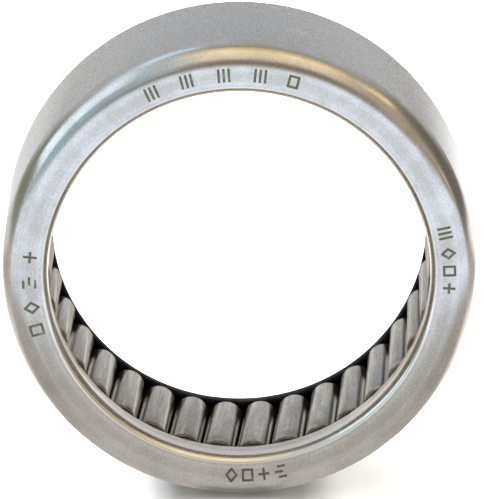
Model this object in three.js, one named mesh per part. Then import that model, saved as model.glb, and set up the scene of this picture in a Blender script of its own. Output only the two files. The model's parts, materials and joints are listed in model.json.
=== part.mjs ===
// Drawn-cup needle roller bearing with a full complement of trunnion-ended rollers and no cage.
// Millimetres. The bearing's axis is Y, its marked face looks to -Y, Z is up,
// and the origin is the centre of the bore, half way between the two faces.
import * as THREE from 'three';

// Bearing
const shaftDiameter = 25.4;         // the shaft that the rollers run on
const bearingWidth = 12.7;          // from face to face
const rollerCount = 36;             // they fill the circle, so their diameter follows from this

// Drawn cup
const shellWall = 0.76;             // strip thickness around the raceway
const frontFaceThickness = 0.8;
const rearFaceThickness = 0.55;
const frontCornerDepth = 2.3;       // the outer corner at the marked face is drawn out into an ellipse
const frontCornerHeight = 1.5;
const rearCornerRadius = 1.3;
const lipThickness = 0.45;
const lipShaftGap = 0.13;           // the lips clear the shaft by this much
const frontLipLength = 2.57;        // the lip at the marked face reaches in over the trunnions
const frontLipRounding = 0.7;
const rearLipRounding = 0.4;

// Needle rollers
const trunnionLength = 0.55;
const rollerEdge = 0.15;            // bevel around the ends of a roller's body
const skewAngle = 4.4;              // degrees that the rollers lean together around the shaft

// Clearances
const shaftClearance = 0.01;        // between the shaft and the circle inside the rollers
const rollerGap = 0.0347;           // between one roller and the next
const racewayClearance = 0.02;      // between a roller's ends and the cup, on radius
const trunnionClearance = 0.17;     // between a trunnion and the lip that holds it in, on radius
const rollerEndPlay = 0.07;         // between the rear trunnions and the rear face's inner side
const rearLipGap = 0.12;            // between the rear lip's edge and a roller's shoulder
const frontLipGap = 0.38;           // between the front lip's edge and a roller's shoulder

// How finely round shapes are cut into flats
const cupSides = 84;
const rollerSides = 10;
const smallArcSteps = 2;
const largeArcSteps = 3;

const steel = { metalness: 1 };
const cupFinish = new THREE.MeshStandardMaterial({ ...steel, color: 0xb5b2ad, roughness: 0.45 });
const rollerFinish = new THREE.MeshStandardMaterial({ ...steel, color: 0x9c968c, roughness: 0.3 });

// Rollers: skewed neighbours stand closer together than the chord between them by the cosine of the skew.
const skew = THREE.MathUtils.degToRad(skewAngle);
const rollerCircle = shaftDiameter / 2 + shaftClearance;
const spacing = Math.sin(Math.PI / rollerCount) * Math.cos(skew);
const rollerRadius = (2 * rollerCircle * spacing - rollerGap) / (1 - spacing) / 2;
const pitchRadius = rollerCircle + rollerRadius;

// Along the axis, from the rear face forwards to the front face
const rearFace = bearingWidth / 2;
const frontFace = -bearingWidth / 2;
const rearInside = rearFace - rearFaceThickness;
const frontInside = frontFace + frontFaceThickness;
const rearShoulder = rearInside - rollerEndPlay - trunnionLength;
const rearLipEdge = rearShoulder + rearLipGap;
const frontLipEdge = frontFace + frontLipLength;
const frontShoulder = frontLipEdge + frontLipGap;
const rollerMiddle = (rearShoulder + frontShoulder) / 2;
const bodyLength = (rearShoulder - frontShoulder) / Math.cos(skew);

// Radii of the cup. Skewed rollers reach furthest out at their ends, and the raceway clears them there.
const endReach = Math.hypot(pitchRadius, (bodyLength / 2) * Math.sin(skew)) + rollerRadius;
const racewayRadius = endReach + racewayClearance;
const outerRadius = racewayRadius + shellWall;
const lipBore = shaftDiameter / 2 + lipShaftGap;
const lipOutside = lipBore + lipThickness;
const trunnionRadius = pitchRadius - lipOutside - trunnionClearance;

// Adds a quarter ellipse to an outline, between two angles in quarter turns.
function addQuarter(points, centre, radial, axial, from, steps) {
  const arc = new THREE.EllipseCurve(
    centre.x, centre.y, radial, axial, from * Math.PI / 2, (from + 1) * Math.PI / 2,
  );
  points.push(...arc.getPoints(steps));
}

// The same quarter, run the other way round for an inside corner.
function addInsideQuarter(points, centre, radial, axial, from, steps) {
  const arc = new THREE.EllipseCurve(
    centre.x, centre.y, radial, axial, (from + 1) * Math.PI / 2, from * Math.PI / 2, true,
  );
  points.push(...arc.getPoints(steps));
}

// The cup's cross-section: radius along x and the bearing's axis along y.
function cupOutline() {
  const points = [];
  const lipRound = lipThickness / 2;
  const lipMiddle = lipBore + lipRound;
  const pocketFillet = lipRound;
  const frontInnerDepth = Math.min(frontCornerDepth - frontFaceThickness, frontShoulder - frontInside);
  const frontInnerHeight = Math.max(frontCornerHeight - shellWall, rollerEdge);
  const rearInnerDepth = Math.min(rearCornerRadius - rearFaceThickness, rearInside - rearShoulder);
  const rearInnerHeight = Math.max(rearCornerRadius - shellWall, rollerEdge);

  // Outside: rear corner, then forwards along the outside and around the front corner.
  const rearCorner = new THREE.Vector2(outerRadius - rearCornerRadius, rearFace - rearCornerRadius);
  addInsideQuarter(points, rearCorner, rearCornerRadius, rearCornerRadius, 0, largeArcSteps);
  const frontCorner = new THREE.Vector2(outerRadius - frontCornerHeight, frontFace + frontCornerDepth);
  addInsideQuarter(points, frontCorner, frontCornerHeight, frontCornerDepth, 3, largeArcSteps + 1);

  // Front lip: round the bore's edge, along the bore, round the free edge and back under it.
  const frontEdge = new THREE.Vector2(lipBore + frontLipRounding, frontFace + frontLipRounding);
  addInsideQuarter(points, frontEdge, frontLipRounding, frontLipRounding, 2, largeArcSteps);
  const frontTip = new THREE.Vector2(lipMiddle, frontLipEdge - lipRound);
  addInsideQuarter(points, frontTip, lipRound, lipRound, 1, smallArcSteps);
  addInsideQuarter(points, frontTip, lipRound, lipRound, 0, smallArcSteps);
  const frontPocket = new THREE.Vector2(lipOutside + pocketFillet, frontInside + pocketFillet);
  addQuarter(points, frontPocket, pocketFillet, pocketFillet, 2, smallArcSteps);

  // Inside: the front corner, the raceway and the rear corner.
  const frontInner = new THREE.Vector2(racewayRadius - frontInnerHeight, frontInside + frontInnerDepth);
  addQuarter(points, frontInner, frontInnerHeight, frontInnerDepth, 3, smallArcSteps + 1);
  const rearInner = new THREE.Vector2(racewayRadius - rearInnerHeight, rearInside - rearInnerDepth);
  addQuarter(points, rearInner, rearInnerHeight, rearInnerDepth, 0, smallArcSteps);

  // Rear lip, which is short: back over its free edge and round the bore's edge to the rear face.
  points.push(new THREE.Vector2(lipOutside, rearInside));
  const rearTip = new THREE.Vector2(lipMiddle, rearLipEdge + lipRound);
  addInsideQuarter(points, rearTip, lipRound, lipRound, 3, smallArcSteps);
  addInsideQuarter(points, rearTip, lipRound, lipRound, 2, smallArcSteps);
  const rearEdge = new THREE.Vector2(lipBore + rearLipRounding, rearFace - rearLipRounding);
  addInsideQuarter(points, rearEdge, rearLipRounding, rearLipRounding, 1, smallArcSteps + 1);
  points.push(points[0].clone());
  return withoutRepeats(points);
}

// Arcs that meet share a point, which the outline keeps once.
function withoutRepeats(points) {
  const smallest = 1e-6;
  return points.filter((point, i) => i === 0 || point.distanceTo(points[i - 1]) > smallest);
}

// Half of a roller's outline, from the axis at its front end to the axis at its rear end.
function rollerOutline() {
  const shoulder = bodyLength / 2;
  const end = shoulder + trunnionLength;
  const rear = [
    new THREE.Vector2(rollerRadius, shoulder - rollerEdge),
    new THREE.Vector2(rollerRadius - rollerEdge, shoulder),
    new THREE.Vector2(trunnionRadius, shoulder),
    new THREE.Vector2(trunnionRadius, end),
    new THREE.Vector2(0, end),
  ];
  const front = rear.map((point) => new THREE.Vector2(point.x, -point.y)).reverse();
  return [...front, ...rear];
}

function makeCup() {
  const outline = cupOutline().reverse();   // a lathe's faces point outwards when it runs anticlockwise
  const cup = new THREE.Mesh(new THREE.LatheGeometry(outline, cupSides), cupFinish);
  cup.name = 'drawn_cup';
  return cup;
}

// Rollers are counted anticlockwise from the bottom as the marked face is seen. The bottom is between two.
function makeRollers() {
  const shape = new THREE.LatheGeometry(rollerOutline(), rollerSides);
  const complement = new THREE.Group();
  for (let i = 0; i < rollerCount; i += 1) {
    const roller = new THREE.Mesh(shape, rollerFinish);
    roller.name = `needle_roller_${String(i + 1).padStart(2, '0')}`;
    roller.position.set(0, rollerMiddle, -pitchRadius);
    roller.rotation.z = -skew;
    const station = new THREE.Group();
    station.rotation.y = -(i + 0.5) * 2 * Math.PI / rollerCount;
    station.add(roller);
    complement.add(station);
  }
  return complement;
}

const bearing = new THREE.Group();
bearing.add(makeCup());
bearing.add(makeRollers());

export default bearing;
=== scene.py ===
import json
import math
import bmesh
import bpy
from mathutils import Matrix, Vector


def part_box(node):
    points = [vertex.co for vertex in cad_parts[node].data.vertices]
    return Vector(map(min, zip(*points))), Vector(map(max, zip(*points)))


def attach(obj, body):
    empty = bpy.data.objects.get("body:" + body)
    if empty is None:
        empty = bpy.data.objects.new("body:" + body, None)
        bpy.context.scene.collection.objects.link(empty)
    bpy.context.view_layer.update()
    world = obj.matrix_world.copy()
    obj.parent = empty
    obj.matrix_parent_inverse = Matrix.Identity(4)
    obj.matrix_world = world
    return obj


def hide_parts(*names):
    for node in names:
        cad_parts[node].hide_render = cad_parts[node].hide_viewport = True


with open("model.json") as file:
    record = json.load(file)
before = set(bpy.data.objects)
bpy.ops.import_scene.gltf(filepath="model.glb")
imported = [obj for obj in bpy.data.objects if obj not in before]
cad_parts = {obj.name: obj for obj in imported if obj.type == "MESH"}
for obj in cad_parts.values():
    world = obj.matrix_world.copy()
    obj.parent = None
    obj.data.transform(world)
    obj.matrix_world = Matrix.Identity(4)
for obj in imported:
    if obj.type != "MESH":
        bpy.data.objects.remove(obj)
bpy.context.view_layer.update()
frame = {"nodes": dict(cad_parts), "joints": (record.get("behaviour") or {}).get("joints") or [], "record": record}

# Drawn-cup needle roller bearing: a thin steel cup with two turned-in lips, full of loose rollers.
# The pieces' settings are in millimetres and the studio's in metres. The bearing's axis is Y.
mm = 0.001
hair = 0.002  # holds the outside and the rear face just inside the frame's box
weldGap = 0.0002  # points nearer than this become one

cupLow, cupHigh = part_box("drawn_cup")
outerRadius = cupHigh.x / mm - hair
rearFace = cupHigh.y / mm - hair
frontFace = cupLow.y / mm


def startOutline(bm, radius, along):
    return bm.verts.new((radius * mm, along * mm, 0))


def lineTo(bm, last, radius, along):
    corner = bm.verts.new((radius * mm, along * mm, 0))
    bm.edges.new((last, corner))
    return corner


# Quarter turns about a centre. squash flattens the arc across or along the axis, away from its start.
def arcTo(bm, last, radius, along, quarters, steps, squash=(1, 1)):
    centre = Vector((radius * mm, along * mm, 0))
    old = set(bm.verts)
    made = bmesh.ops.spin(
        bm, geom=[last], cent=centre, axis=(0, 0, 1), angle=quarters * math.pi / 2, steps=steps
    )
    arc = [v for v in bm.verts if v not in old]
    bmesh.ops.scale(bm, vec=(squash[0], squash[1], 1), space=Matrix.Translation(-centre), verts=arc)
    return made["geom_last"][0]


# Several arcs that run on smoothly from the bore to the face: each is (radius, degrees turned by its end).
def rollTo(bm, last, arcs, steps):
    at, turned = last, 0
    for radius, upTo in arcs:
        start = math.radians(turned)
        across = at.co.x / mm + radius * math.cos(start)
        along = at.co.y / mm + radius * math.sin(start)
        at = arcTo(bm, at, across, along, (upTo - turned) / 90, steps)
        turned = upTo
    return at


# How far such arcs reach along the axis.
def rollDepth(arcs):
    depth, turned = 0, 0
    for radius, upTo in arcs:
        depth += radius * (math.sin(math.radians(upTo)) - math.sin(math.radians(turned)))
        turned = upTo
    return depth


# Turns the outline right round the Y axis, and marks the edges too sharp to shade as one surface.
def spinOutline(bm, steps, sharpAngle):
    outline = bm.verts[:] + bm.edges[:]
    bmesh.ops.spin(
        bm, geom=outline, cent=(0, 0, 0), axis=(0, 1, 0), angle=2 * math.pi, steps=steps, use_merge=True
    )
    bmesh.ops.remove_doubles(bm, verts=bm.verts, dist=weldGap * mm)
    bmesh.ops.recalc_face_normals(bm, faces=bm.faces)
    for face in bm.faces:
        face.smooth = True
    for edge in bm.edges:
        edge.smooth = edge.calc_face_angle(0) < math.radians(sharpAngle)


def addPiece(name, bm, body, material):
    mesh = bpy.data.meshes.new(name)
    bm.to_mesh(mesh)
    bm.free()
    mesh.materials.append(material)
    piece = bpy.data.objects.new(name, mesh)
    bpy.context.scene.collection.objects.link(piece)
    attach(piece, body)
    return piece


# Adds a node. inputs are sockets to link or values to set, and settings are the node's own.
def addNode(tree, kind, inputs=None, **settings):
    node = tree.nodes.new(kind)
    for key, value in settings.items():
        setattr(node, key, value)
    for key, value in (inputs or {}).items():
        if isinstance(value, bpy.types.NodeSocket):
            tree.links.new(value, node.inputs[key])
        else:
            node.inputs[key].default_value = value
    return node


def newMaterial(name, **shaderValues):
    material = bpy.data.materials.new(name)
    material.use_nodes = True
    shader = material.node_tree.nodes["Principled BSDF"]
    for key, value in shaderValues.items():
        shader.inputs[key].default_value = value
    return material, material.node_tree, shader


def mathNode(tree, operation, first, second=0.0, clamp=False):
    return addNode(
        tree, "ShaderNodeMath", {0: first, 1: second}, operation=operation, use_clamp=clamp
    ).outputs[0]


def times(tree, first, second):
    return mathNode(tree, "MULTIPLY", first, second)


def vectorMath(tree, operation, first, second=(0, 0, 0)):
    node = addNode(tree, "ShaderNodeVectorMath", {0: first, 1: second}, operation=operation)
    return node.outputs["Value" if operation in ("LENGTH", "DOT_PRODUCT") else "Vector"]


def noiseOn(tree, place, scale, detail, roughness=0.5):
    inputs = {"Vector": place, "Scale": scale, "Detail": detail, "Roughness": roughness}
    return addNode(tree, "ShaderNodeTexNoise", inputs).outputs[0]


# 0 below low, 1 above high, and smooth between.
def rise(tree, value, low, high):
    inputs = {0: value, 1: low, 2: high, 3: 0.0, 4: 1.0}
    return addNode(tree, "ShaderNodeMapRange", inputs, interpolation_type="SMOOTHSTEP").outputs[0]


# 1 below low, 0 above high, and smooth between.
def fall(tree, value, low, high):
    return mathNode(tree, "SUBTRACT", 1.0, rise(tree, value, low, high))


def mixColour(tree, share, first, second):
    node = addNode(tree, "ShaderNodeMix", data_type="RGBA")
    for socket, value in ((node.inputs[0], share), (node.inputs[6], first), (node.inputs[7], second)):
        if isinstance(value, bpy.types.NodeSocket):
            tree.links.new(value, socket)
        else:
            socket.default_value = value
    return node.outputs[2]


cupShape = {
    "faceInset": 0.012,
    "wall": 0.76,
    "frontThickness": 0.8,
    "rearThickness": 0.55,
    "frontCornerDepth": 2.3,
    "frontCornerHeight": 1.5,
    "frontCornerSteps": 20,
    "innerFrontSteps": 10,
    "rearCorner": 1.3,
    "rearCornerSteps": 12,
    "innerRearSteps": 6,
    "lipBore": 12.83,
    "lipThickness": 0.45,
    "lipEdgeSteps": 10,
    "lipRollSteps": 8,
    "frontLipEdge": -3.78,
    "frontLipRoll": [(0.26, 24), (1.50, 45), (0.14, 90)],
    "frontLipTaper": 0.08,
    "rearLipEdge": 5.3,
    "rearLipRounding": 0.4,
    "pocketFillet": 0.2,
    "filletSteps": 4,
    "shadeOverLip": 0.1,
    "shadeSlack": 0.01,
    "outsideSlack": 0.002,
    "sides": 256,
    "sharpAngle": 50,
}


def drawCupOutline(bm, s):
    tip, tipSteps = s["lipThickness"] / 2, s["lipEdgeSteps"]
    lipOutside = s["lipBore"] + s["lipThickness"]
    raceway = outerRadius - s["wall"]
    face = frontFace + s["faceInset"]
    frontInside = frontFace + s["frontThickness"]
    rearInside = rearFace - s["rearThickness"]
    frontHeight, frontDepth = s["frontCornerHeight"], s["frontCornerDepth"]
    innerHeight, innerDepth = frontHeight - s["wall"], frontDepth - s["frontThickness"]
    outerSquash, innerSquash = (frontHeight / frontDepth, 1), (1, innerDepth / innerHeight)
    rear, rearInner = s["rearCorner"], s["rearCorner"] - s["wall"]
    rearEdge, fillet = s["rearLipRounding"], s["pocketFillet"]

    # front lip's bore, round on to the face, out to the corner and along the outside
    first = startOutline(bm, s["lipBore"], s["frontLipEdge"] - tip)
    at = lineTo(bm, first, s["lipBore"] - s["frontLipTaper"], face + rollDepth(s["frontLipRoll"]))
    at = rollTo(bm, at, s["frontLipRoll"], s["lipRollSteps"])
    at = lineTo(bm, at, outerRadius - frontHeight, face)
    at = arcTo(
        bm, at, outerRadius - frontHeight, face + frontDepth, 1, s["frontCornerSteps"], outerSquash
    )
    at = lineTo(bm, at, outerRadius, rearFace - rear)
    at = arcTo(bm, at, outerRadius - rear, rearFace - rear, 1, s["rearCornerSteps"])

    # rear face, the short lip and back under it
    at = lineTo(bm, at, s["lipBore"] + rearEdge, rearFace)
    at = arcTo(bm, at, s["lipBore"] + rearEdge, rearFace - rearEdge, 1, s["lipRollSteps"])
    at = lineTo(bm, at, s["lipBore"], s["rearLipEdge"] + tip)
    at = arcTo(bm, at, s["lipBore"] + tip, s["rearLipEdge"] + tip, 2, tipSteps)
    at = lineTo(bm, at, lipOutside, rearInside - fillet)
    at = arcTo(bm, at, lipOutside + fillet, rearInside - fillet, -1, s["filletSteps"])

    # inside of the wall: rear corner, raceway, front corner, and under the front lip to its edge
    at = lineTo(bm, at, raceway - rearInner, rearInside)
    at = arcTo(bm, at, raceway - rearInner, rearInside - rearInner, -1, s["innerRearSteps"])
    at = lineTo(bm, at, raceway, frontInside + innerDepth)
    at = arcTo(
        bm, at, raceway - innerHeight, frontInside + innerDepth, -1, s["innerFrontSteps"], innerSquash
    )
    at = lineTo(bm, at, lipOutside + fillet, frontInside)
    at = arcTo(bm, at, lipOutside + fillet, frontInside + fillet, -1, s["filletSteps"])
    at = lineTo(bm, at, lipOutside, s["frontLipEdge"] - tip)
    arcTo(bm, at, s["lipBore"] + tip, s["frontLipEdge"] - tip, 2, tipSteps)


# The channel behind the lips, and the short lip's bore, lie where shade falls and are painted near-black: painted
# shade.
def isPaintedShade(place, s):
    radius, along = math.hypot(place.x, place.z) / mm, place.y / mm
    slack = s["shadeSlack"]
    deep = along > frontFace + s["frontThickness"] - slack and radius > s["lipBore"] + s["shadeOverLip"]
    farLip = along > s["rearLipEdge"] - slack
    inside = radius < outerRadius - s["wall"] + slack and along < rearFace - s["rearLipRounding"] + slack
    return inside and (deep or farLip)


def isOutside(place, s):
    return math.hypot(place.x, place.z) / mm > outerRadius - s["outsideSlack"]


def makeCup(drawnFinish, shadeFinish, outsideFinish):
    bm = bmesh.new()
    drawCupOutline(bm, cupShape)
    bmesh.ops.remove_doubles(bm, verts=bm.verts, dist=weldGap * mm)
    spinOutline(bm, cupShape["sides"], cupShape["sharpAngle"])
    # faces in the channel behind the lips take the near-black painted shade; the outside takes its own ground
    # finish
    for face in bm.faces:
        if all(isPaintedShade(v.co, cupShape) for v in face.verts):
            face.material_index = 1
        if all(isOutside(v.co, cupShape) for v in face.verts):
            face.material_index = 2
    cup = addPiece("cupShell", bm, "cup", drawnFinish)
    cup.data.materials.append(shadeFinish)
    cup.data.materials.append(outsideFinish)
    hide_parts("drawn_cup")


rollerShape = {
    "bodyLength": 8.605,
    "diameter": 2.381,
    "endRounding": 0.42,
    "endSteps": 6,
    "trunnionDiameter": 0.9,
    "trunnionLength": 0.55,
    "trunnionRounding": 0.08,
    "trunnionSteps": 3,
    "sides": 48,
    "sharpAngle": 40,
    "apart": 30,  # between two rollers' own coordinates, so that no two have the same streaks
}


def drawRollerOutline(bm, s):
    radius, edge, steps = s["diameter"] / 2, s["endRounding"], s["endSteps"]
    small, bevel, bevelSteps = s["trunnionDiameter"] / 2, s["trunnionRounding"], s["trunnionSteps"]
    shoulder = s["bodyLength"] / 2
    end = shoulder + s["trunnionLength"]
    at = startOutline(bm, 0, -end)
    at = lineTo(bm, at, small - bevel, -end)
    at = arcTo(bm, at, small - bevel, bevel - end, 1, bevelSteps)
    at = lineTo(bm, at, small, -shoulder)
    at = lineTo(bm, at, radius - edge, -shoulder)
    at = arcTo(bm, at, radius - edge, edge - shoulder, 1, steps)
    at = lineTo(bm, at, radius, shoulder - edge)
    at = arcTo(bm, at, radius - edge, shoulder - edge, 1, steps)
    at = lineTo(bm, at, small, shoulder)
    at = lineTo(bm, at, small, end - bevel)
    at = arcTo(bm, at, small - bevel, end - bevel, 1, bevelSteps)
    lineTo(bm, at, 0, end)


# Where the frame's roller lies: at its box's middle, leaning with the axes of the spin joints.
def rollerPlace(node, skew):
    low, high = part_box(node)
    middle = (low + high) / 2
    station = math.atan2(middle.x, -middle.z)
    return Matrix.Translation(middle) @ Matrix.Rotation(-station, 4, "Y") @ Matrix.Rotation(-skew, 4, "Z")


# Each roller keeps its own coordinates, in millimetres from its middle, for the marks along it.
def makeRoller(node, body, number, skew, material):
    bm = bmesh.new()
    drawRollerOutline(bm, rollerShape)
    spinOutline(bm, rollerShape["sides"], rollerShape["sharpAngle"])
    own = bm.verts.layers.float_vector.new("ownPlace")
    apart = Vector((0, rollerShape["apart"] * number, 0))
    for v in bm.verts:
        v[own] = v.co / mm + apart
    bmesh.ops.transform(bm, matrix=rollerPlace(node, skew), verts=bm.verts)
    roller = addPiece(f"needleRoller{number:02d}", bm, body, material)
    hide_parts(node)


outsideLook = {
    "bright": (0.68, 0.675, 0.68, 1),
    "speck": (0.32, 0.32, 0.322, 1),
    "specksPerMetre": 8500,
    "speckCut": (0.28, 0.72),
    "speckDepth": 0.006,
    "speckStrength": 0.5,
    "rub": (0.80, 0.80, 0.82, 1),
    "patchesPerMetre": 160,
    "rubCut": (0.60, 0.74),
    "rubShare": 0.5,
    "roughness": 0.24,
}


# Ground outside of the cup: even matte grey with a fine speckle and a few lighter rubs.
def outsideSteel(s):
    material, tree, shader = newMaterial("outsideSteel", Metallic=1.0, Roughness=s["roughness"])
    place = addNode(tree, "ShaderNodeTexCoord").outputs["Object"]
    speck = rise(tree, noiseOn(tree, place, s["specksPerMetre"], 2), *s["speckCut"])
    patch = noiseOn(tree, place, s["patchesPerMetre"], 4)
    colour = mixColour(tree, speck, s["speck"], s["bright"])
    rub = times(tree, rise(tree, patch, *s["rubCut"]), s["rubShare"])
    colour = mixColour(tree, rub, colour, s["rub"])
    tree.links.new(colour, shader.inputs["Base Color"])
    relief = {"Height": speck, "Distance": s["speckDepth"] * mm, "Strength": s["speckStrength"]}
    bump = addNode(tree, "ShaderNodeBump", relief)
    tree.links.new(bump.outputs[0], shader.inputs["Normal"])
    return material


drawnLook = {
    "bright": (0.69, 0.69, 0.70, 1),
    "dull": (0.50, 0.49, 0.465, 1),
    "warm": (0.60, 0.55, 0.46, 1),
    "warmCut": (0.58, 0.72),
    "warmShare": 0.4,
    "edgeTint": (0.92, 0.87, 0.83, 1),
    "roughness": 0.17,
    "cloudRoughness": 0.08,
    "cloudsPerMetre": 420,
    "cloudCut": (0.35, 0.65),
    "cloudShare": 0.5,
    "grainPerMetre": 6500,
    "grainCut": (0.3, 0.7),
    "grainShare": 0.42,
    "linesPerMm": 7,
    "lineCut": (0.3, 0.7),
    "lineShare": 0.3,
    "lineDepth": 0.001,
    "lineStrength": 0.5,
    "wornBand": (13.66, 14.45),
    "wornFade": (0.05, 0.25),
    "wornShare": 0.35,
    # a painted highlight: a brighter, cream colour on the rim where each lip turns into its bore
    "rimHighlight": (0.97, 0.92, 0.84, 1),
    "rimHighlightShare": 0.65,
    "rimHighlightBand": (13.12, 13.28),
    "rimHighlightEnds": (4.8, 5.3),
}


# Drawn face, lips and corner: turning lines round the axis, cloudy dull patches, a duller band on the face,
# and a brighter, cream rim where each lip turns into its bore, a painted highlight.
def drawnSteel(s):
    material, tree, shader = newMaterial("drawnSteel", Metallic=1.0, **{"Specular Tint": s["edgeTint"]})
    place = addNode(tree, "ShaderNodeTexCoord").outputs["Object"]
    radius = vectorMath(tree, "LENGTH", vectorMath(tree, "MULTIPLY", place, (1 / mm, 0, 1 / mm)))
    along = times(tree, addNode(tree, "ShaderNodeSeparateXYZ", {0: place}).outputs["Y"], 1 / mm)
    rings = addNode(tree, "ShaderNodeCombineXYZ", {0: radius, 1: along}).outputs[0]
    lines = rise(tree, noiseOn(tree, rings, s["linesPerMm"], 3), *s["lineCut"])
    grain = rise(tree, noiseOn(tree, place, s["grainPerMetre"], 2), *s["grainCut"])
    cloud = noiseOn(tree, place, s["cloudsPerMetre"], 6, 0.65)
    warm = times(tree, rise(tree, cloud, *s["warmCut"]), s["warmShare"])
    cloud = rise(tree, cloud, *s["cloudCut"])

    # how dull each place is
    inner, outer = s["wornBand"]
    fadeIn, fadeOut = s["wornFade"]
    pastInner = rise(tree, radius, inner - fadeIn, inner)
    pastOuter = rise(tree, radius, outer - fadeOut, outer)
    band = mathNode(tree, "SUBTRACT", pastInner, pastOuter)
    dull = mathNode(tree, "ADD", times(tree, cloud, s["cloudShare"]), times(tree, lines, s["lineShare"]))
    dull = mathNode(tree, "ADD", dull, times(tree, band, s["wornShare"]))
    grain = times(tree, mathNode(tree, "SUBTRACT", grain, 0.5), s["grainShare"])
    dull = mathNode(tree, "ADD", dull, grain, clamp=True)
    colour = mixColour(tree, dull, s["bright"], s["dull"])
    colour = mixColour(tree, warm, colour, s["warm"])

    # the rim's painted highlight, at both ends only
    rim = mathNode(tree, "SUBTRACT", s["rimHighlightShare"], rise(tree, radius, *s["rimHighlightBand"]), clamp=True)
    rim = times(tree, rim, rise(tree, mathNode(tree, "ABSOLUTE", along), *s["rimHighlightEnds"]))
    colour = mixColour(tree, rim, colour, s["rimHighlight"])
    tree.links.new(colour, shader.inputs["Base Color"])
    rough = mathNode(tree, "ADD", s["roughness"], times(tree, cloud, s["cloudRoughness"]))
    tree.links.new(rough, shader.inputs["Roughness"])
    relief = {"Height": lines, "Distance": s["lineDepth"] * mm, "Strength": s["lineStrength"]}
    bump = addNode(tree, "ShaderNodeBump", relief)
    tree.links.new(bump.outputs[0], shader.inputs["Normal"])
    return material


# the painted shade's near-black colours, mottled a little
shadeLook = {
    "deepShade": (0.005, 0.006, 0.009, 1),
    "paleShade": (0.014, 0.012, 0.009, 1),
    "shadeMottlesPerMetre": 900,
    "shadeMottleCut": (0.45, 0.7),
    "roughness": 0.45,
    "gloss": 0.04,
}


# Painted shade: a near-black, barely glossy film for the channel behind the lips and the short lip's bore.
def shadeFilm(s):
    material, tree, shader = newMaterial(
        "shadeFilm", **{"Roughness": s["roughness"], "Specular IOR Level": s["gloss"]}
    )
    place = addNode(tree, "ShaderNodeTexCoord").outputs["Object"]
    shadeMottle = rise(tree, noiseOn(tree, place, s["shadeMottlesPerMetre"], 4), *s["shadeMottleCut"])
    colour = mixColour(tree, shadeMottle, s["deepShade"], s["paleShade"])
    tree.links.new(colour, shader.inputs["Base Color"])
    return material


rollerLook = {
    "bright": (0.47, 0.46, 0.44, 1),
    "dull": (0.12, 0.115, 0.108, 1),
    "streaksPerMm": 2.2,
    "streakStretch": 0.07,
    "streakCut": (0.35, 0.68),
    "specksPerMm": 9,
    "speckCut": (0.3, 0.7),
    "patchesPerMm": 0.8,
    "bluish": (0.25, 0.27, 0.32, 1),
    "bluishCut": (0.53, 0.66),
    "bluishShare": 0.65,
    "ochre": (0.36, 0.29, 0.19, 1),
    "ochreCut": (0.32, 0.45),
    "ochreShare": 0.5,
    "stain": (0.17, 0.13, 0.07, 1),
    "stainCut": (0.42, 0.58),
    "stainShare": 0.75,
    "stainedEnd": (-3.9, -2.4),  # along the roller from its middle, fading out between the two
    # painted shade in the valleys between rollers, and a painted reflection on each side of a valley
    "valleyShade": (0.025, 0.021, 0.018, 1),
    "valleyReach": 0.7,
    "valleySamples": 12,
    "valleyShadeStart": (0.86, 0.94),
    "flankReflection": (0.62, 0.60, 0.57, 1),
    "flankReflectionFrom": (0.28, 0.38),
    "flankReflectionTo": (0.56, 0.66),
    "flankReflectionLength": (1.2, 2.4),
    "edgeTint": (0.86, 0.83, 0.79, 1),
    "metal": 0.72,
    "roughness": 0.10,
    "streakRoughness": 0.12,
}


# Rolled steel, streaked along each roller and mottled, stained at the end by the marked face, with painted
# shade, near-black, in the valleys between rollers and a thin painted reflection on each side of a valley.
def rollerSteel(s):
    material, tree, shader = newMaterial(
        "rollerSteel", **{"Metallic": s["metal"], "Specular Tint": s["edgeTint"]}
    )
    place = addNode(tree, "ShaderNodeAttribute", attribute_name="ownPlace").outputs["Vector"]
    stretched = vectorMath(tree, "MULTIPLY", place, (1, s["streakStretch"], 1))
    streak = rise(tree, noiseOn(tree, stretched, s["streaksPerMm"], 5, 0.7), *s["streakCut"])
    speck = rise(tree, noiseOn(tree, place, s["specksPerMm"], 2), *s["speckCut"])
    patch = noiseOn(tree, place, s["patchesPerMm"], 5)
    light = times(tree, mathNode(tree, "ADD", streak, speck), 0.5)
    bluish = times(tree, rise(tree, patch, *s["bluishCut"]), s["bluishShare"])
    ochre = times(tree, fall(tree, patch, *s["ochreCut"]), s["ochreShare"])
    colour = mixColour(tree, light, s["dull"], s["bright"])
    colour = mixColour(tree, bluish, colour, s["bluish"])
    colour = mixColour(tree, ochre, colour, s["ochre"])

    # along the roller, from its own middle
    half = rollerShape["apart"] / 2
    along = addNode(tree, "ShaderNodeSeparateXYZ", {0: place}).outputs["Y"]
    along = addNode(tree, "ShaderNodeMath", {0: along, 1: half, 2: -half}, operation="WRAP").outputs[0]
    stained = times(tree, fall(tree, along, *s["stainedEnd"]), rise(tree, patch, *s["stainCut"]))
    colour = mixColour(tree, times(tree, stained, s["stainShare"]), colour, s["stain"])

    # the less of the room a place sees, the deeper in a valley it is; the painted shade darkens the valleys by
    # this
    reach = {"Distance": s["valleyReach"] * mm}
    openness = addNode(tree, "ShaderNodeAmbientOcclusion", reach, samples=s["valleySamples"]).outputs["AO"]
    # painted reflection: a thin light line part way up each side of a valley, fading towards the far end
    flankReflection = rise(tree, openness, *s["flankReflectionFrom"])
    flankReflection = mathNode(tree, "SUBTRACT", flankReflection, rise(tree, openness, *s["flankReflectionTo"]), clamp=True)
    flankReflection = mathNode(tree, "SUBTRACT", flankReflection, rise(tree, along, *s["flankReflectionLength"]), clamp=True)
    valleyShade = mixColour(tree, flankReflection, s["valleyShade"], s["flankReflection"])
    # painted shade, near-black, in the valleys
    colour = mixColour(tree, rise(tree, openness, *s["valleyShadeStart"]), valleyShade, colour)
    tree.links.new(colour, shader.inputs["Base Color"])
    rough = mathNode(tree, "ADD", s["roughness"], times(tree, light, s["streakRoughness"]))
    tree.links.new(rough, shader.inputs["Roughness"])
    return material


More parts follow.
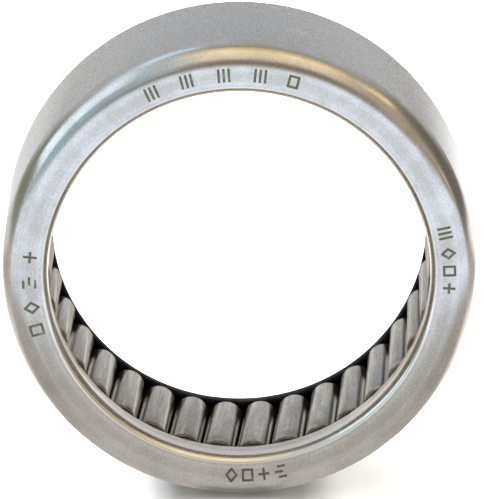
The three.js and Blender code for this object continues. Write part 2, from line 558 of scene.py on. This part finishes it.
# Plain strokes etched on the face: each stroke is two ends, (across, up, across, up), in millimetres.
markShapes = {
    "bars": [(-0.34, -0.40, -0.34, 0.40), (0, -0.40, 0, 0.40), (0.34, -0.40, 0.34, 0.40)],
    "box": [
        (-0.3, -0.36, 0.3, -0.36), (0.3, -0.36, 0.3, 0.36),
        (0.3, 0.36, -0.3, 0.36), (-0.3, 0.36, -0.3, -0.36),
    ],
    "diamond": [(0, -0.42, 0.32, 0), (0.32, 0, 0, 0.42), (0, 0.42, -0.32, 0), (-0.32, 0, 0, -0.42)],
    "plus": [(-0.3, 0, 0.3, 0), (0, -0.36, 0, 0.36)],
    "steps": [(-0.3, -0.36, 0.1, -0.36), (-0.1, 0, 0.3, 0), (-0.3, 0.36, 0.1, 0.36)],
}
faceMarks = {
    "radius": 14.02,
    "strokeWidth": 0.165,
    "strokeOverlap": 0.8,  # of a stroke's width, added to its length
    "thickness": 0.01,
    "lift": 0.7,  # of the thickness, as is liftStep
    "liftStep": 0.15,  # every other stroke stands higher, so that crossings stay clean
    "dark": (0.115, 0.105, 0.07, 1),
    "light": (0.30, 0.28, 0.22, 1),
    "grainPerMetre": 2600,
    "grainCut": (0.5, 0.9),
    # shape, degrees clockwise from the top, size
    "rows": [
        ("bars", -24.4, 1.0), ("bars", -14.4, 1.0), ("bars", -4.2, 1.0), ("bars", 5.7, 1.0),
        ("box", 14.8, 1.0),
        ("box", -105.3, 1.1), ("diamond", -98.8, 1.1), ("steps", -91.6, 1.1), ("plus", -84.3, 1.1),
        ("plus", 93.2, 1.0), ("box", 88.2, 1.0), ("diamond", 83.2, 1.0), ("bars", 77.3, 1.0),
        ("diamond", 182.2, 1.05), ("box", 177.7, 1.05), ("plus", 173.2, 1.05), ("steps", 168.6, 1.05),
    ],
}


def makeMarks(s, material):
    bm = bmesh.new()
    thickness, width = s["thickness"], s["strokeWidth"]
    for shape, fromTop, size in s["rows"]:
        station = Matrix.Rotation(math.radians(fromTop), 4, "Y")
        station = station @ Matrix.Translation((0, 0, s["radius"] * mm))
        for count, (x1, z1, x2, z2) in enumerate(markShapes[shape]):
            lift = thickness * (s["lift"] + s["liftStep"] * (count % 2))
            slope = Matrix.Rotation(-math.atan2(z2 - z1, x2 - x1), 4, "Y")
            length = math.hypot(x2 - x1, z2 - z1) * size + width * s["strokeOverlap"]
            middle = Vector(((x1 + x2) / 2 * size, frontFace + lift, (z1 + z2) / 2 * size)) * mm
            stroke = Matrix.Diagonal((length * mm, thickness * mm, width * mm, 1))
            place = station @ Matrix.Translation(middle) @ slope @ stroke
            bmesh.ops.create_cube(bm, size=1, matrix=place)
    addPiece("etchedMarks", bm, "cup", material)


def markOxide(s):
    material, tree, shader = newMaterial("markOxide", Metallic=0.5, Roughness=0.5)
    place = addNode(tree, "ShaderNodeTexCoord").outputs["Object"]
    worn = rise(tree, noiseOn(tree, place, s["grainPerMetre"], 3), *s["grainCut"])
    tree.links.new(mixColour(tree, worn, s["dark"], s["light"]), shader.inputs["Base Color"])
    return material


print("cup")
makeCup(drawnSteel(drawnLook), shadeFilm(shadeLook), outsideSteel(outsideLook))

print("marks")
makeMarks(faceMarks, markOxide(faceMarks))

print("rollers")
spinJoint = next(joint for joint in frame["joints"] if joint["name"].startswith("spin_"))
skew = math.acos(min(abs(spinJoint["axis"][1]), 1))
rollerFinish = rollerSteel(rollerLook)
bodyOf = {n: body for body, nodes in frame["record"]["behaviour"]["bodies"].items() for n in nodes}
rollerNodes = sorted(n for n in frame["nodes"] if n.startswith("needle_roller_"))
for number, node in enumerate(rollerNodes, 1):
    makeRoller(node, bodyOf[node], number, skew, rollerFinish)

studio = {
    "cameraDistance": 407.2,  # millimetres
    "cameraHeight": 17.84,  # degrees
    "lens": 434.2,
    "shift": (0.0054, -0.0025),
    "clip": (0.01, 20),
}

print("camera")
camera = bpy.data.objects.new("camera", bpy.data.cameras.new("camera"))
bpy.context.scene.collection.objects.link(camera)
bpy.context.scene.camera = camera
tilt = math.radians(studio["cameraHeight"])
camera.location = Vector((0, -math.cos(tilt), math.sin(tilt))) * studio["cameraDistance"] * mm
camera.rotation_euler = (math.pi / 2 - tilt, 0, 0)
camera.data.lens = studio["lens"]
camera.data.shift_x, camera.data.shift_y = studio["shift"]
camera.data.clip_start, camera.data.clip_end = studio["clip"]

# The paper, and how bright reflections see it: round the part, in front, behind, beside, and the dark tables. The
# colours near the part, at its contact and just behind it are painted shadow of the part.
# Each colour that covers only some of the floor is followed by where its edge lies.
paper = {
    "halfSize": 3.0,
    "colour": (0.92, 0.93, 0.94, 1),
    # near, the near sides and the contact hold the part's painted shadow on the paper; shade holds it behind the
    # part
    "nearShadow": (0.68, 0.645, 0.595, 1),
    "nearSideShadow": (0.54, 0.495, 0.445, 1),
    "nearSideAcross": (0.008, 0.019),
    "front": (1.12, 1.20, 1.30, 1),
    "frontReach": (0.031, 0.057),
    "frontSpread": (0.75, 1, 0),
    "contactShadow": (0.30, 0.29, 0.26, 1),
    "contactAcross": (0.0015, 0.004),
    "contactDepth": (-0.0068, -0.0055),
    "behindNear": (1.75, 1.75, 1.75, 1),
    "behindFar": (0.90, 0.90, 0.90, 1),
    "behindFarDepth": (0.05, 0.20),
    "behindLeft": (1.05, 1.05, 1.03, 1),
    "behindLeftAcross": (-0.030, -0.018),
    "shade": (0.62, 0.57, 0.50, 1),
    "shadeAcross": (0.0130, 0.0155),
    "beside": (0.62, 0.58, 0.52, 1),
    "besideAcross": (0.028, 0.045),
    "besideDepth": (0.035, 0.06),
    "behindDepth": (-0.002, 0.012),
    "leftTable": (0.32, 0.34, 0.28, 1),
    "rightTable": (0.20, 0.18, 0.15, 1),
    "tableAcross": (0.11, 0.15),
    "tableDepth": (-0.03, 0.05),
}


def floorPaper(s):
    material, tree, shader = newMaterial("floorPaper", **{"Base Color": s["colour"], "Roughness": 0.9})
    place = addNode(tree, "ShaderNodeTexCoord").outputs["Object"]
    x, y, _ = addNode(tree, "ShaderNodeSeparateXYZ", {0: place}).outputs
    aside = mathNode(tree, "ABSOLUTE", x)

    # round the part and in front of it, with the part's painted shadow close to it, darkest at its contact
    reach = vectorMath(tree, "LENGTH", vectorMath(tree, "MULTIPLY", place, s["frontSpread"]))
    seen = mixColour(tree, rise(tree, aside, *s["nearSideAcross"]), s["nearShadow"], s["nearSideShadow"])
    seen = mixColour(tree, rise(tree, reach, *s["frontReach"]), seen, s["front"])
    under = times(tree, fall(tree, aside, *s["contactAcross"]), rise(tree, y, *s["contactDepth"]))
    seen = mixColour(tree, under, seen, s["contactShadow"])

    # behind and beside it, with the part's painted shade in the strip just behind it
    behind = mixColour(tree, rise(tree, y, *s["behindFarDepth"]), s["behindNear"], s["behindFar"])
    behind = mixColour(tree, fall(tree, x, *s["behindLeftAcross"]), behind, s["behindLeft"])
    behind = mixColour(tree, rise(tree, aside, *s["shadeAcross"]), s["shade"], behind)
    beside = rise(tree, aside, *s["besideAcross"])
    beside = mathNode(tree, "SUBTRACT", beside, rise(tree, y, *s["besideDepth"]), clamp=True)
    behind = mixColour(tree, beside, behind, s["beside"])
    seen = mixColour(tree, rise(tree, y, *s["behindDepth"]), seen, behind)
    for table, sideX in (("leftTable", times(tree, x, -1.0)), ("rightTable", x)):
        onTable = times(tree, rise(tree, sideX, *s["tableAcross"]), rise(tree, y, *s["tableDepth"]))
        seen = mixColour(tree, onTable, seen, s[table])

    # To reflections the paper glows with the colours above, a painted reflection of the lit floor and of the
    # part's shadows on it; to all other rays it is plain paper.
    glow = addNode(tree, "ShaderNodeEmission", {0: seen, 1: 1.0})
    reflected = addNode(tree, "ShaderNodeLightPath").outputs["Is Glossy Ray"]
    both = addNode(tree, "ShaderNodeMixShader", {0: reflected, 1: shader.outputs[0], 2: glow.outputs[0]})
    tree.links.new(both.outputs[0], tree.nodes["Material Output"].inputs[0])
    return material


print("floor")
bm = bmesh.new()
bmesh.ops.create_grid(bm, x_segments=1, y_segments=1, size=paper["halfSize"])
bmesh.ops.translate(bm, vec=(0, 0, cupLow.z), verts=bm.verts)
floorMesh = bpy.data.meshes.new("floor")
bm.to_mesh(floorMesh)
bm.free()
floorMesh.materials.append(floorPaper(paper))
floor = bpy.data.objects.new("floor", floorMesh)
bpy.context.scene.collection.objects.link(floor)


# A direction from the part: (degrees right of straight behind, degrees up).
def directionOf(towards):
    side, up = (math.radians(angle) for angle in towards)
    return Vector((math.sin(side) * math.cos(up), math.cos(side) * math.cos(up), math.sin(up)))


# A studio panel that only reflections see.
def addPanel(name, towards, distance, size, colour, strength, turn=0):
    bm = bmesh.new()
    bmesh.ops.create_grid(bm, x_segments=1, y_segments=1, size=0.5)
    bmesh.ops.scale(bm, vec=(size[0], size[1], 1), verts=bm.verts)
    mesh = bpy.data.meshes.new(name)
    bm.to_mesh(mesh)
    bm.free()
    panel = bpy.data.objects.new(name, mesh)
    bpy.context.scene.collection.objects.link(panel)
    away = directionOf(towards)
    panel.matrix_world = (
        Matrix.Translation(away * distance)
        @ (-away).to_track_quat("Z", "Y").to_matrix().to_4x4()
        @ Matrix.Rotation(math.radians(turn), 4, "Z")
    )
    panel.visible_camera = False
    panel.visible_shadow = False
    panel.visible_diffuse = False
    material = bpy.data.materials.new(name)
    material.use_nodes = True
    tree = material.node_tree
    tree.nodes.clear()
    glow = addNode(tree, "ShaderNodeEmission", {0: colour, 1: strength})
    addNode(tree, "ShaderNodeOutputMaterial", {0: glow.outputs[0]})
    mesh.materials.append(material)


print("lights")
addPanel("coolWindow", (-80, 34), 0.7, (0.46, 0.50), (0.88, 0.98, 1.05, 1), 1.5)
addPanel("coolWindowEnd", (-36, 44), 0.7, (0.36, 0.15), (0.70, 0.88, 1.0, 1), 1.25, 12)
addPanel("warmLamp", (72, 41), 0.7, (0.24, 0.11), (1.0, 0.76, 0.46, 1), 1.45, 20)

# Light that reflections don't see, from both sides, in front and behind. Each is its direction, distance,
# size, watts and colour.
floorLights = {
    "leftLight": ((-62, 34), 0.8, (0.4, 0.25), 13.5, (0.96, 0.98, 1.0)),
    "rightLight": ((62, 34), 0.8, (0.4, 0.25), 8, (1.0, 0.97, 0.93)),
    "frontLight": ((180, 60), 0.8, (0.6, 0.4), 0.6, (1.0, 1.0, 1.0)),
    "backLight": ((0, 50), 0.8, (0.7, 0.4), 9, (1.0, 1.0, 1.0)),
}
for name, (towards, distance, size, watts, colour) in floorLights.items():
    light = bpy.data.objects.new(name, bpy.data.lights.new(name, "AREA"))
    bpy.context.scene.collection.objects.link(light)
    light.data.shape = "RECTANGLE"
    light.data.size, light.data.size_y = size
    light.data.energy = watts
    light.data.color = colour
    away = directionOf(towards)
    light.location = away * distance
    light.rotation_euler = away.to_track_quat("Z", "Y").to_euler()
    light.visible_glossy = False
    light.visible_camera = False

# What reflections see of the room: an arch of light over the part, by degrees from straight behind, over the
# top, to straight in front, tinted at the sides, with two dark low corners behind. A corner is its direction,
# its inner and outer reach in degrees, and its colour. The other pairs say where a tint's edge lies, from -1
# to 1 sideways, in depth and in height.
room = {
    "arch": [
        (0, (0.80, 0.80, 0.80, 1)), (12, (0.63, 0.63, 0.64, 1)), (27, (0.57, 0.59, 0.60, 1)),
        (39, (0.62, 0.64, 0.66, 1)), (50, (0.44, 0.46, 0.47, 1)), (58, (0.40, 0.35, 0.23, 1)),
        (68, (1.15, 0.86, 0.34, 1)), (78, (1.35, 1.10, 0.74, 1)), (92, (1.18, 1.02, 0.70, 1)),
        (108, (1.10, 0.92, 0.64, 1)), (118, (0.80, 0.64, 0.48, 1)), (130, (0.34, 0.27, 0.23, 1)),
        (143, (0.26, 0.23, 0.20, 1)), (156, (0.48, 0.44, 0.38, 1)), (168, (0.84, 0.88, 0.90, 1)),
        (178, (1.15, 1.24, 1.36, 1)),
    ],
    "leftHigh": (0.59, 0.67, 0.67, 1),
    "leftHighSideways": (-0.45, -0.12),
    "leftHighHeight": (0.45, 0.65),
    "leftFront": (0.46, 0.62, 0.69, 1),
    "leftFrontSideways": (-0.75, -0.40),
    "leftFrontDepth": (-0.1, 0.15),
    "leftFrontHeight": (0.03, 0.16),
    "rightHigh": (0.55, 0.46, 0.33, 1),
    "rightHighSideways": (0.35, 0.8),
    "rightHighHeight": (0.12, 0.35),
    "leftCorner": ((-62, 2), 12, 32, (0.26, 0.28, 0.20, 1)),
    "rightCorner": ((62, 6), 12, 36, (0.20, 0.18, 0.14, 1)),
    "shown": (1, 1, 1, 1),
}


def archRamp(tree, turn, stops):
    ramp = addNode(tree, "ShaderNodeValToRGB", {0: turn})
    band = ramp.color_ramp
    for _ in stops[2:]:
        band.elements.new(0.5)
    for element, (degrees, colour) in zip(band.elements, stops):
        element.position = degrees / 180
        element.color = colour
    return ramp.outputs[0]


# 1 within inner degrees of a direction, 0 past outer degrees.
def nearDirection(tree, direction, towards, inner, outer):
    cosine = vectorMath(tree, "DOT_PRODUCT", direction, directionOf(towards))
    return rise(tree, cosine, math.cos(math.radians(outer)), math.cos(math.radians(inner)))


def roomSeen(tree, s):
    direction = addNode(tree, "ShaderNodeTexCoord").outputs["Generated"]
    sideways, depth, height = addNode(tree, "ShaderNodeSeparateXYZ", {0: direction}).outputs
    turn = mathNode(tree, "DIVIDE", mathNode(tree, "ARCTAN2", height, depth), math.pi, clamp=True)
    seen = archRamp(tree, turn, s["arch"])
    leftHigh = fall(tree, sideways, *s["leftHighSideways"])
    leftHigh = times(tree, leftHigh, rise(tree, height, *s["leftHighHeight"]))
    seen = mixColour(tree, leftHigh, seen, s["leftHigh"])
    leftFront = fall(tree, sideways, *s["leftFrontSideways"])
    leftFront = times(tree, leftFront, fall(tree, depth, *s["leftFrontDepth"]))
    leftFront = times(tree, leftFront, rise(tree, height, *s["leftFrontHeight"]))
    seen = mixColour(tree, leftFront, seen, s["leftFront"])
    rightHigh = rise(tree, sideways, *s["rightHighSideways"])
    rightHigh = times(tree, rightHigh, rise(tree, height, *s["rightHighHeight"]))
    seen = mixColour(tree, rightHigh, seen, s["rightHigh"])
    for towards, inner, outer, colour in (s["leftCorner"], s["rightCorner"]):
        seen = mixColour(tree, nearDirection(tree, direction, towards, inner, outer), seen, colour)
    onCamera = addNode(tree, "ShaderNodeLightPath").outputs["Is Camera Ray"]
    return mixColour(tree, onCamera, seen, s["shown"])


print("room")
world = bpy.data.worlds.new("world")
bpy.context.scene.world = world
world.use_nodes = True
worldTree = world.node_tree
worldTree.links.new(roomSeen(worldTree, room), worldTree.nodes["Background"].inputs[0])
bpy.context.scene.view_settings.view_transform = "Standard"

print("done")
